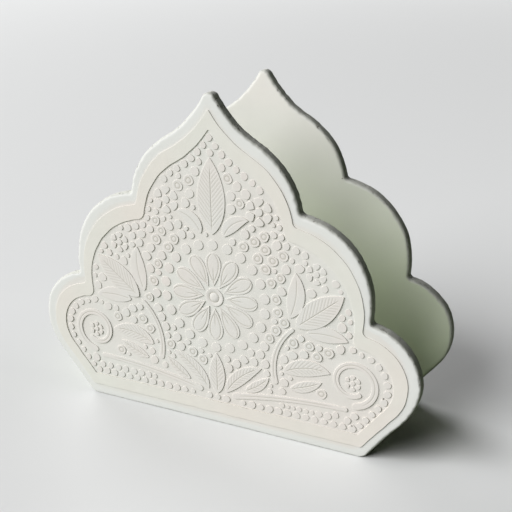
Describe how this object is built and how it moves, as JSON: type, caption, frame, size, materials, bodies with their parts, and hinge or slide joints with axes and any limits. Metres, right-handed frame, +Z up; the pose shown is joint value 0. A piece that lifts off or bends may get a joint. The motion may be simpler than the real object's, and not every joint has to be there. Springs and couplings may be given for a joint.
{
  "type": "napkin holder",
  "caption": "Free-standing napkin holder of pale unglazed clay: upright lobed panels with a raised border band and low floral ornament, joined by a base slab.",
  "frame": {"origin": "middle of the footprint, at the height of the table that the holder stands on", "axes": "+X across the panels to the right as seen from the front, +Y from the front panel to the back panel, +Z up"},
  "size_m": [0.1698, 0.0544, 0.1396],
  "materials": {
    "panel_clay": "matte unglazed fired clay with fine grain and small pinholes",
    "base_clay": "matte unglazed fired clay, sponged smooth",
    "band_clay": "matte unglazed fired clay, scraped flat, faintly warm",
    "ornament_clay": "matte unglazed fired clay, carved in low flat relief"
  },
  "bodies": {
    "root": {"front_panel": "panel_clay", "back_panel": "panel_clay", "base_slab": "base_clay", "front_joint_coil": "base_clay", "rear_joint_coil": "base_clay", "front_border_band": "band_clay", "front_rosette": "ornament_clay", "front_rosette_eye": "ornament_clay", "front_collar_beads": "ornament_clay", "front_bud": "ornament_clay", "front_florets": "ornament_clay", "front_tulips": "ornament_clay", "front_leaves": "ornament_clay", "front_stems": "ornament_clay", "front_scrolls": "ornament_clay", "front_pebbles": "ornament_clay", "rear_border_band": "band_clay", "rear_rosette": "ornament_clay", "rear_rosette_eye": "ornament_clay", "rear_collar_beads": "ornament_clay", "rear_bud": "ornament_clay", "rear_florets": "ornament_clay", "rear_tulips": "ornament_clay", "rear_leaves": "ornament_clay", "rear_stems": "ornament_clay", "rear_scrolls": "ornament_clay", "rear_pebbles": "ornament_clay"}
  },
  "joints": []
}
